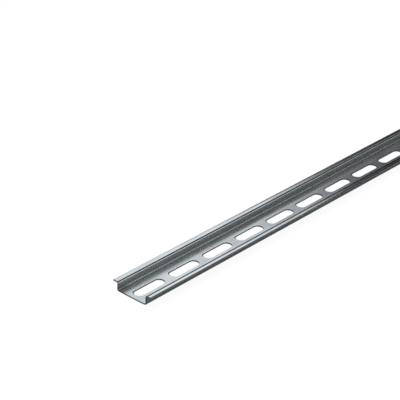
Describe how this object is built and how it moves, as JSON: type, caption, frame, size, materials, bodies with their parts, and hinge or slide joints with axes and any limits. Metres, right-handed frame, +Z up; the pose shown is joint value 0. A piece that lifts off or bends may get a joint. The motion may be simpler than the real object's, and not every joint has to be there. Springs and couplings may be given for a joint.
{
  "type": "din rail",
  "caption": "Straight top-hat mounting rail of thin zinc-plated sheet steel, with a row of long round-ended slots in its base and two outward flanges that devices clip onto.",
  "frame": {"origin": "middle of the underside of the rail, on the panel face that it is screwed to", "axes": "+X along the rail, from the end whose first slot is nearest to the plain end; +Y across it; +Z up, away from the panel"},
  "size_m": [1, 0.035, 0.0075],
  "materials": {
    "zinc_plated_steel": "satin, bright zinc plating with a faint blue passivation"
  },
  "bodies": {
    "root": {"slotted_rail": "zinc_plated_steel"}
  },
  "joints": []
}
